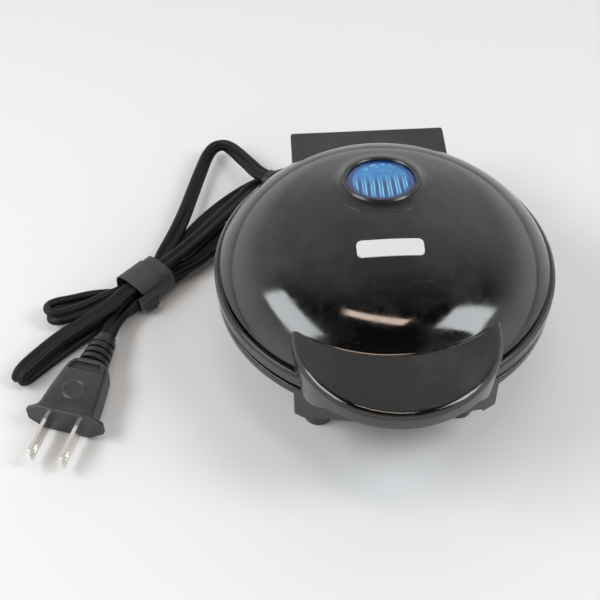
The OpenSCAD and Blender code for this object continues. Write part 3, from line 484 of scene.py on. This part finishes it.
def make_plug():
    """The moulding in one skin: face plate, body with its top's detail, and ribbed relief."""
    plate_end = 2.9
    rings = []
    for y in (i * 0.35 for i in range(81)):
        half, low, high, power = plug_section(y)
        mid, tall = (low + high) / 2, (high - low) / 2
        ring = []
        for x, z in oblong(half, tall, power, PLUG_POINTS):
            on_top = z > 0.6 * tall
            if y < plate_end:
                x, z = flange_edge(x, z, half, tall)
            if on_top:
                z += plug_top_detail(x, y)
            ring.append(at_plug(x, y, mid + z))
        rings.append(ring)
    relief_mid = 7
    y = PLUG_RELIEF_Y + 0.2
    while y < PLUG_RELIEF_Y + PLUG_RELIEF_LENGTH + 0.01:
        r = plug_relief_width(y)
        flatness = 0.86 if r < 5 else 0.95
        ring = []
        for a in (math.tau * k / PLUG_POINTS for k in range(PLUG_POINTS)):
            ring.append(at_plug(r * math.cos(a), y, relief_mid + flatness * r * math.sin(a)))
        rings.append(ring)
        y += 0.15
    obj = loft("plug_moulding", rings)
    sharpen(obj, 32)
    return obj


def flange_edge(x, z, half, tall):
    """The face plate's outline: a long oblong whose four corners are cut off."""
    slope, reach = 0.62, 1.22
    pull_x, pull_z = 0.72, 0.45
    over = abs(x) / half + slope * abs(z) / tall - reach
    if over > 0:
        x -= math.copysign(over * half * pull_x, x)
        z -= math.copysign(over * tall * pull_z, z)
    return x, z


def plug_top_detail(x, y):
    """Height of the stepped recess before the ribs and of the plain raised ring on top."""
    recess_from, recess_to, recess_deep = 21.2, 25.6, 1.6
    ring_y, ring_out, ring_in, ring_proud = 12.0, 4.6, 3.6, 0.45
    edge = 0.4
    height = 0.0
    if recess_from < y < recess_to:
        half = 7.4 - (y - recess_from) * 0.5
        across = min(1, max(0, (half - abs(x)) / edge))
        along = min(1, (y - recess_from) / 1.4, (recess_to - y) / 0.3)
        height -= recess_deep * max(0, across * along)
    r = math.hypot(x, y - ring_y)
    if r < ring_out:
        height += ring_proud * min(1, (ring_out - r) / edge)
    if r < ring_in:
        height -= ring_proud * min(1, (ring_in - r) / edge)
    return height


plug = make_plug()
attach(plug, "base")
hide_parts("plug_body")


# ---------------------------------------------------------------- lid trim

# The dome's flat crown: its radius and its centre's height, and the lens's tilt about that
CROWN_R = 150
CROWN_Z = -80
LENS_TILT = -7.78


def crown_height(r):
    """Height of the crown above its centre, at r from the axis."""
    return math.sqrt(CROWN_R ** 2 - r * r)


def make_surround():
    """The soft hollow round the lens, where the collar runs out into the dome."""
    tilt = math.radians(LENS_TILT)
    inner, wide, proud, sunk = 14.85, 4.6, 0.78, 0.4
    outline = []
    for t in (i / 12 for i in range(13)):
        r = inner + wide * t
        outline.append((r, crown_height(r) + 0.02 + proud * (1 - t) ** 2.3))
    outline += [(r, crown_height(r) - sunk) for r in (19.4, inner)]
    rings = []
    for a in (math.tau * k / 120 for k in range(120)):
        ring = []
        for r, h in outline:
            x, y = r * math.cos(a), r * math.sin(a)
            ring.append((x, y * math.cos(tilt) - h * math.sin(tilt),
                         y * math.sin(tilt) + h * math.cos(tilt) + CROWN_Z))
        rings.append(ring)
    rings.append(rings[0])
    return loft("lens_surround", rings, capped=False)


def make_crease():
    """The small fillet where the handle's flat top meets the dome; it runs out at both ends."""
    half_turn, steps, runout = 39, 80, 6
    on_dome, corner, on_flat = Vector((53.3, 57.74)), Vector((54.02, 57.03)), Vector((55.1, 57.03))
    under = 56.8
    rings = []
    for k in range(steps + 1):
        turn = -half_turn + 2 * half_turn * k / steps
        a = math.radians(turn - 90)
        size = min(1.0, 0.08 + (half_turn - abs(turn)) / runout)
        outline = []
        for t in (i / 8 for i in range(9)):
            bend = on_dome * (1 - t) ** 2 + corner * (2 * t * (1 - t)) + on_flat * t * t
            outline.append(corner + (bend - corner) * size)
        outline += [Vector((corner.x + 1.0 * size, under)), Vector((corner.x - 0.8, under))]
        rings.append([(r * math.cos(a), r * math.sin(a), z) for r, z in outline])
    return loft("handle_crease", rings)


surround = make_surround()
crease = make_crease()
for piece in (surround, crease):
    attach(piece, "lid")
    sharpen(piece, 50)


# ---------------------------------------------------------------- materials

class Finish:
    """A procedural material; its helpers return sockets."""

    def __init__(self, name):
        self.name = name
        self.material = bpy.data.materials.new(name)
        self.material.use_nodes = True
        self.tree = self.material.node_tree
        self.shader = self.tree.nodes["Principled BSDF"]
        self.coords = self.tree.nodes.new("ShaderNodeTexCoord")
        self.place = self.coords.outputs["Object"]

    def add(self, kind, inputs=None, **settings):
        """A new node, whose inputs take sockets or plain values."""
        node = self.tree.nodes.new(kind)
        for key, value in settings.items():
            setattr(node, key, value)
        for key, value in (inputs or {}).items():
            if isinstance(value, bpy.types.NodeSocket):
                self.tree.links.new(value, node.inputs[key])
            else:
                node.inputs[key].default_value = value
        return node

    def set(self, **values):
        """Gives the shader's inputs sockets or plain values."""
        for key, value in values.items():
            socket = self.shader.inputs[key.replace("_", " ")]
            if isinstance(value, bpy.types.NodeSocket):
                self.tree.links.new(value, socket)
            else:
                socket.default_value = value

    def stretched(self, scale, turn=(0, 0, 0)):
        """The object's own place, scaled along each axis and turned."""
        return self.add("ShaderNodeMapping", {"Vector": self.place, "Scale": scale,
                                              "Rotation": turn}).outputs["Vector"]

    def noise(self, scale, detail, rough, place=None, distortion=0.0):
        return self.add("ShaderNodeTexNoise", {
            "Vector": place or self.place, "Scale": scale, "Detail": detail,
            "Roughness": rough, "Distortion": distortion}).outputs["Fac"]

    def specks(self, scale, size):
        """1 inside small scattered dots, 0 elsewhere."""
        cells = self.add("ShaderNodeTexVoronoi", {
            "Vector": self.place, "Scale": scale, "Randomness": 1.0})
        return self.span(cells.outputs["Distance"], size * 0.4, size, 1, 0)

    def span(self, value, a, b, c, d):
        """Takes a value from the range a to b to the range c to d."""
        node = self.add("ShaderNodeMapRange", {
            "Value": value, "From Min": a, "From Max": b, "To Min": c, "To Max": d})
        return node.outputs["Result"]

    def math(self, operation, a, b=0.0):
        return self.add("ShaderNodeMath", {0: a, 1: b}, operation=operation).outputs[0]

    def mix(self, factor, a, b):
        """From colour a at 0 to colour b at 1; a colour is a socket or three numbers."""
        node = self.add("ShaderNodeMix", {"Factor": factor}, data_type="RGBA")
        for socket, value in ((node.inputs[6], a), (node.inputs[7], b)):
            if isinstance(value, bpy.types.NodeSocket):
                self.tree.links.new(value, socket)
            else:
                socket.default_value = (*value, 1)
        return node.outputs[2]

    def bump(self, height, strength, distance=0.0002, edge=0.0):
        """Relief from a height; edge is the radius that sharp edges seem rounded to, in metres."""
        inputs = {"Height": height, "Strength": strength, "Distance": distance}
        if edge:
            bevel = self.add("ShaderNodeBevel", {"Radius": edge}, samples=6)
            inputs["Normal"] = bevel.outputs["Normal"]
        self.set(Normal=self.add("ShaderNodeBump", inputs).outputs["Normal"])


def moulded(name, colour, rough, haze=0.0, dust=0.0, scratch=0.0, grain=0.02, edge=0.0003,
            ior=1.5):
    """Moulded plastic or rubber: even colour, a mottled film, dust on top and fine scratches."""
    f = Finish(name)
    film = f.noise(38, 5, 0.62)
    fine = f.noise(420, 3, 0.6)
    pale = tuple(c + 0.09 for c in colour)
    tone = f.mix(f.span(film, 0.44, 0.68, 0.0, haze), colour, pale)
    level = f.span(f.math("ADD", f.math("MULTIPLY", film, 0.7), f.math("MULTIPLY", fine, 0.3)),
                   0.35, 0.68, rough[0], rough[1])
    if dust:
        up = f.add("ShaderNodeSeparateXYZ", {0: f.coords.outputs["Normal"]}).outputs["Z"]
        lies = f.span(up, 0.35, 0.9, 0, 1)
        few = f.specks(230, 0.055)
        more = f.specks(620, 0.10)
        patch = f.span(f.noise(22, 2, 0.5), 0.5, 0.62, 0, 1)
        marks = f.math("MAXIMUM", few, f.math("MULTIPLY", more, patch))
        cover = f.math("MULTIPLY", f.math("MULTIPLY", marks, lies), dust)
        tone = f.mix(cover, tone, (0.42, 0.41, 0.39))
        level = f.math("ADD", level, f.math("MULTIPLY", cover, 0.4))
    if scratch:
        one = f.noise(14, 1, 0.4, f.stretched((6, 90, 30), (0.2, 0.1, 0.7)), 0.3)
        two = f.noise(13, 1, 0.4, f.stretched((85, 8, 30), (0.1, 0.3, 0.25)), 0.4)
        thin = f.math("MAXIMUM", f.span(one, 0.75, 0.77, 0, 1), f.span(two, 0.755, 0.775, 0, 1))
        tone = f.mix(f.math("MULTIPLY", thin, scratch), tone, (0.3, 0.3, 0.3))
        level = f.math("ADD", level, f.math("MULTIPLY", thin, 0.2 * scratch))
    f.set(Base_Color=tone, Roughness=level, IOR=ior)
    f.bump(f.math("ADD", f.noise(1400, 2, 0.5), f.math("MULTIPLY", film, 0.6)), grain, edge=edge)
    return f


def metallic(name, colour, rough, stain=(0.2, 0.16, 0.12), stained=0.2, brushed=(1, 1, 1),
             grain=0.05, edge=0.0002):
    """Metal: bright colour with faint stains, brushing and uneven roughness."""
    f = Finish(name)
    cloud = f.noise(60, 4, 0.6)
    line = f.noise(300, 3, 0.5, f.stretched(brushed))
    tone = f.mix(f.span(cloud, 0.45, 0.8, 0, stained), colour, stain)
    f.set(Base_Color=tone, Metallic=1.0, Roughness=f.span(line, 0.3, 0.7, rough[0], rough[1]))
    f.bump(line, grain, 0.0001, edge)
    return f


def make_finishes():
    """Every finish by its name."""
    made = (
        moulded("lid_plastic", (0.0012, 0.0012, 0.0013), (0.06, 0.19),
                haze=0.17, dust=0.18, scratch=0.04, grain=0.015, edge=0.0006, ior=1.62),
        moulded("base_plastic", (0.003, 0.003, 0.0032), (0.10, 0.24),
                haze=0.05, dust=0.15, scratch=0.04, grain=0.03, edge=0.0006, ior=1.6),
        moulded("ring_plastic", (0.013, 0.013, 0.013), (0.3, 0.45), haze=0.1, grain=0.12),
        moulded("pad_rubber", (0.02, 0.02, 0.02), (0.6, 0.8), haze=0.2, grain=0.3),
        moulded("relief_rubber", (0.008, 0.008, 0.009), (0.42, 0.6), haze=0.08, grain=0.15),
        moulded("bezel_plastic", (0.009, 0.009, 0.010), (0.22, 0.34), haze=0.06, grain=0.04),
        moulded("terminal_plastic", (0.86, 0.84, 0.78), (0.4, 0.5), grain=0.1),
        moulded("lead_sleeve", (0.80, 0.77, 0.70), (0.5, 0.7), grain=0.3),
        moulded("badge_plastic", (0.56, 0.57, 0.58), (0.3, 0.4),
                haze=0.4, grain=0.05, edge=0.0002),
        moulded("plug_plastic", (0.009, 0.0095, 0.011), (0.30, 0.46),
                haze=0.22, dust=0.12, scratch=0.04, grain=0.10),
        nonstick(),
        metallic("screw_steel", (0.62, 0.62, 0.60), (0.25, 0.4), stained=0.3),
        metallic("reflector_sheet", (0.80, 0.81, 0.82), (0.18, 0.35),
                 stained=0.35, brushed=(1, 14, 1)),
        metallic("heater_tube", (0.34, 0.33, 0.31), (0.35, 0.55),
                 stain=(0.16, 0.10, 0.07), stained=0.6, grain=0.15),
        metallic("thermostat_metal", (0.70, 0.70, 0.68), (0.25, 0.4)),
        moulded("fuse_sleeve", (0.72, 0.69, 0.58), (0.5, 0.7), grain=0.4),
        metallic("pin_steel", (0.66, 0.67, 0.68), (0.15, 0.3), brushed=(12, 1, 1)),
        metallic("blade_metal", (0.95, 0.92, 0.86), (0.14, 0.26),
                 stain=(0.5, 0.42, 0.32), stained=0.25, brushed=(1, 1, 9)),
        lens(),
        moulded("board_laminate", (0.05, 0.22, 0.09), (0.35, 0.5), grain=0.1),
        clear_lamp(),
        jacket(),
        strap(),
    )
    return {finish.name: finish for finish in made}


def nonstick():
    """Dark non-stick coating with a fine metallic fleck and brown baking haze."""
    f = Finish("nonstick_coating")
    fleck = f.specks(1500, 0.16)
    haze = f.noise(30, 5, 0.6)
    tone = f.mix(f.span(haze, 0.45, 0.75, 0, 0.5), (0.030, 0.030, 0.031), (0.052, 0.044, 0.036))
    tone = f.mix(f.math("MULTIPLY", fleck, 0.35), tone, (0.25, 0.25, 0.25))
    f.set(Base_Color=tone, Roughness=f.span(haze, 0.3, 0.7, 0.26, 0.42))
    f.bump(f.noise(1100, 3, 0.6), 0.12, 0.0002, 0.0004)
    return f


def lens():
    """Clear blue moulding, deep blue with random tone, and painted light: painted highlights as
    pale paired lines on its ribs, painted shade in the gaps between them, painted glints over the
    rear, and a painted shade ring round its edge.
    """
    f = Finish("blue_lens")
    middle_y, rib_pitch = 0.0203, 0.0031
    split = f.add("ShaderNodeSeparateXYZ", {0: f.place})
    x, y = split.outputs["X"], split.outputs["Y"]
    sway = f.math("MULTIPLY", f.noise(90, 1, 0.5), 0.0009)
    wave = f.math("COSINE", f.math("MULTIPLY", f.math("ADD", x, sway), math.tau / rib_pitch))
    off = f.math("ABSOLUTE", f.math("SUBTRACT", wave, 0.42))
    line = f.span(off, 0.0, 0.42, 1, 0)
    gap = f.span(wave, -0.1, -0.8, 0, 1)
    ragged_y = f.math("ADD", y, f.math("MULTIPLY", f.noise(260, 2, 0.6), 0.005))
    front = f.span(ragged_y, 0.0265, 0.0205, 0, 1)
    broken = f.span(f.noise(9, 3, 0.6, f.stretched((80, 16, 30))), 0.30, 0.62, 0.25, 1)
    deep = f.mix(f.noise(170, 3, 0.6), (0.008, 0.10, 0.32), (0.02, 0.23, 0.50))
    # Painted shade in the gaps between the ribs over the front part.
    painted_gap_shade = f.math("MULTIPLY", f.math("MULTIPLY", gap, front), 0.92)
    tone = f.mix(painted_gap_shade, deep, (0.025, 0.03, 0.10))
    # Painted highlight: pale cyan lines along the ribs over the front part, broken up by noise.
    bright = f.math("MULTIPLY", f.math("MULTIPLY", line, front), broken)
    tone = f.mix(bright, tone, (0.30, 0.76, 0.88))
    rear = f.span(y, 0.0235, 0.029, 0, 1)
    # Painted glints: small pale specks over the rear part.
    painted_glint = f.math("MULTIPLY", f.specks(420, 0.42), rear)
    tone = f.mix(f.math("MULTIPLY", painted_glint, 0.75), tone, (0.12, 0.52, 0.74))
    middle = (0, middle_y, 0)
    offset = f.add("ShaderNodeVectorMath", {0: f.place, 1: middle}, operation="SUBTRACT")
    flat = f.add("ShaderNodeVectorMath", {0: offset.outputs[0], 1: (1, 1, 0)},
                 operation="MULTIPLY")
    reach = f.add("ShaderNodeVectorMath", {0: flat.outputs[0]}, operation="LENGTH")
    # Painted shade: a ring of deeper, duller blue round the lens's edge.
    painted_rim_shade = f.span(reach.outputs["Value"], 0.0102, 0.0110, 0, 0.85)
    tone = f.mix(painted_rim_shade, tone, (0.006, 0.03, 0.17))
    f.set(Base_Color=tone, Roughness=0.14, IOR=1.49, Coat_Weight=0.3, Coat_Roughness=0.05)
    f.bump(f.math("ADD", wave, f.noise(300, 2, 0.5)), 0.12, 0.0003, 0.0002)
    return f


def clear_lamp():
    """The lamps' clear envelopes."""
    f = Finish("lamp_clear")
    tone = f.mix(f.noise(500, 2, 0.5), (0.80, 0.84, 0.86), (0.92, 0.93, 0.90))
    f.set(Base_Color=tone, Roughness=f.span(f.noise(300, 2, 0.5), 0.3, 0.7, 0.04, 0.12),
          Transmission_Weight=0.8, IOR=1.5)
    return f


def jacket():
    """The cord's PVC: satin black, slightly mottled and dusty."""
    f = Finish("cord_jacket")
    film = f.noise(90, 4, 0.6)
    tone = f.mix(f.span(film, 0.4, 0.75, 0, 0.5), (0.0016, 0.0016, 0.0018), (0.008, 0.008, 0.008))
    tone = f.mix(f.math("MULTIPLY", f.specks(900, 0.08), 0.15), tone, (0.3, 0.3, 0.29))
    f.set(Base_Color=tone, Roughness=f.span(film, 0.3, 0.7, 0.42, 0.56), IOR=1.34)
    f.bump(f.math("ADD", f.noise(900, 3, 0.5), film), 0.1)
    return f


def strap():
    """Napped nylon: dark grey, with a fine weave under the nap."""
    f = Finish("tie_strap")
    turn = (0, 0, -TIE_TURN)
    across = f.add("ShaderNodeTexWave", {"Vector": f.stretched((1, 1, 1), turn), "Scale": 300.0,
                                         "Distortion": 6.0, "Detail": 3.0}).outputs["Fac"]
    nap = f.noise(700, 4, 0.7)
    tone = f.mix(f.math("MULTIPLY", nap, f.span(across, 0, 1, 0.8, 1)),
                 (0.010, 0.0105, 0.011), (0.055, 0.056, 0.055))
    f.set(Base_Color=tone, Roughness=f.span(nap, 0.3, 0.7, 0.8, 0.95), Sheen_Weight=0.2,
          Sheen_Roughness=0.5)
    f.bump(f.math("ADD", nap, f.math("MULTIPLY", across, 0.25)), 0.7, 0.0004)
    return f


FINISHES = make_finishes()

NODE_FINISH = {
    "base_shell": "base_plastic",
    "foot_pads": "pad_rubber",
    "lower_ring": "ring_plastic",
    "upper_ring": "ring_plastic",
    "lower_ring_screws": "screw_steel",
    "upper_ring_screws": "screw_steel",
    "lower_plate": "nonstick_coating",
    "upper_plate": "nonstick_coating",
    "lower_plate_screws": "screw_steel",
    "upper_plate_screws": "screw_steel",
    "lower_reflector": "reflector_sheet",
    "upper_reflector": "reflector_sheet",
    "lower_heater": "heater_tube",
    "upper_heater": "heater_tube",
    "thermostat": "thermostat_metal",
    "thermal_fuse": "fuse_sleeve",
    "terminal_block": "terminal_plastic",
    "heater_leads": "lead_sleeve",
    "supply_lead": "cord_jacket",
    "hinge_pins": "pin_steel",
    "lid_cover": "lid_plastic",
    "lens_bezel": "bezel_plastic",
    "indicator_lens": "blue_lens",
    "lamp_board": "board_laminate",
    "lamps": "lamp_clear",
    "board_screws": "screw_steel",
    "badge": "badge_plastic",
    "plug_blades": "blade_metal",
}


def even_shading(obj, degrees=26):
    """Smooth normals over the small steps of a turned surface; the shape stays as it is."""
    weld = obj.modifiers.new("weld", "WELD")
    weld.merge_threshold = 0.000002
    split = obj.modifiers.new("split", "EDGE_SPLIT")
    split.split_angle = math.radians(degrees)
    split.use_edge_sharp = False
    even = obj.modifiers.new("even", "WEIGHTED_NORMAL")
    even.weight = 50
    even.keep_sharp = False


def dress(obj, finish):
    """Gives a piece one finish in place of what it came with."""
    obj.data.materials.clear()
    obj.data.materials.append(FINISHES[finish].material)


for name, finish in NODE_FINISH.items():
    dress(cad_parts[name], finish)
for name in ("lid_cover", "base_shell", "lens_bezel", "indicator_lens",
             "lower_ring", "upper_ring"):
    even_shading(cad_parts[name])
dress(cord, "cord_jacket")
dress(relief, "relief_rubber")
dress(plug, "plug_plastic")
dress(surround, "lid_plastic")
dress(crease, "lid_plastic")
for piece in tie:
    dress(piece, "tie_strap")


# ---------------------------------------------------------------- stage

def make_floor():
    """The white table top, a hair below the feet so that it shares no face with them."""
    half = 2.5
    mesh = bpy.data.meshes.new("table")
    corners = [(-half, -half, 0), (half, -half, 0), (half, half, 0), (-half, half, 0)]
    mesh.from_pydata(corners, [], [(0, 1, 2, 3)])
    table = bpy.data.objects.new("table", mesh)
    bpy.context.scene.collection.objects.link(table)
    table.location.z = -0.0001
    f = Finish("table_top")
    tone = f.mix(f.noise(7, 4, 0.6), (0.716, 0.716, 0.719), (0.734, 0.732, 0.733))
    f.set(Base_Color=tone, Roughness=0.75)
    mesh.materials.append(f.material)


DAYLIGHT = (0.94, 0.98, 1.0)
WARM = (1.0, 0.80, 0.66)
# The point of the object that the lamps face
LIT_POINT = Vector((0, 0, 0.05))


def soft_light(name, toward, distance, wide, tall, radiance, colour):
    """A flat lamp that faces the object from a direction; it gives the radiance stated."""
    data = bpy.data.lights.new(name, "AREA")
    data.shape = "RECTANGLE"
    data.size, data.size_y = wide, tall
    data.energy = radiance * math.pi * wide * tall
    data.color = colour
    lamp = bpy.data.objects.new(name, data)
    bpy.context.scene.collection.objects.link(lamp)
    away = Vector(toward).normalized()
    lamp.location = away * distance + LIT_POINT
    lamp.rotation_euler = away.to_track_quat("Z", "Y").to_euler()
    lamp.visible_camera = False


def make_world():
    """A white room: bright walls, a dim ceiling, and a bright wall part high at the back."""
    # A wall's height is the sine of the angle above the horizon
    horizon, overhead = (1.35, 1.35, 1.36, 1), (0.010, 0.010, 0.010, 1)
    walls = ((0.20, 1.28), (0.38, 1.05), (0.58, 0.50), (0.75, 0.05))
    world = bpy.data.worlds.new("room")
    world.use_nodes = True
    tree = world.node_tree
    shade = tree.nodes["Background"]
    coords = tree.nodes.new("ShaderNodeTexCoord")
    split = tree.nodes.new("ShaderNodeSeparateXYZ")
    tree.links.new(coords.outputs["Generated"], split.inputs[0])
    ramp = tree.nodes.new("ShaderNodeValToRGB")
    tree.links.new(split.outputs["Z"], ramp.inputs["Fac"])
    stops = ramp.color_ramp.elements
    stops[0].position, stops[0].color = 0.0, horizon
    stops[1].position, stops[1].color = 1.0, overhead
    for height, level in walls:
        stop = stops.new(height)
        stop.color = (level, level, level * 1.01, 1)

    def smooth(value, a, b, high):
        """From 0 at a to high at b, without a corner at either end."""
        node = tree.nodes.new("ShaderNodeMapRange")
        node.interpolation_type = "SMOOTHSTEP"
        tree.links.new(value, node.inputs["Value"])
        for key, number in (("From Min", a), ("From Max", b), ("To Min", 0.0), ("To Max", high)):
            node.inputs[key].default_value = number
        return node.outputs["Result"]

    back = tree.nodes.new("ShaderNodeMath")
    back.operation = "MULTIPLY"
    tree.links.new(smooth(split.outputs["Y"], 0.05, 0.62, 0.62), back.inputs[0])
    tree.links.new(smooth(split.outputs["Z"], 0.40, 0.75, 1.0), back.inputs[1])
    total = tree.nodes.new("ShaderNodeMix")
    total.data_type = "RGBA"
    total.blend_type = "ADD"
    total.inputs["Factor"].default_value = 1.0
    tree.links.new(ramp.outputs["Color"], total.inputs[6])
    tree.links.new(back.outputs[0], total.inputs[7])
    tree.links.new(total.outputs[2], shade.inputs["Color"])
    shade.inputs["Strength"].default_value = 1.0
    bpy.context.scene.world = world


make_floor()
make_world()
soft_light("left_window", toward=(-0.72, -0.12, 0.66), distance=0.9, wide=0.56, tall=0.32,
           radiance=8.2, colour=DAYLIGHT)
soft_light("right_window", toward=(0.62, -0.20, 0.74), distance=0.9, wide=0.30, tall=0.46,
           radiance=8.6, colour=DAYLIGHT)
soft_light("warm_lamp", toward=(-0.03, -0.06, 1.0), distance=1.0, wide=0.42, tall=0.12,
           radiance=10.5, colour=WARM)

bpy.context.scene.view_settings.view_transform = "Standard"
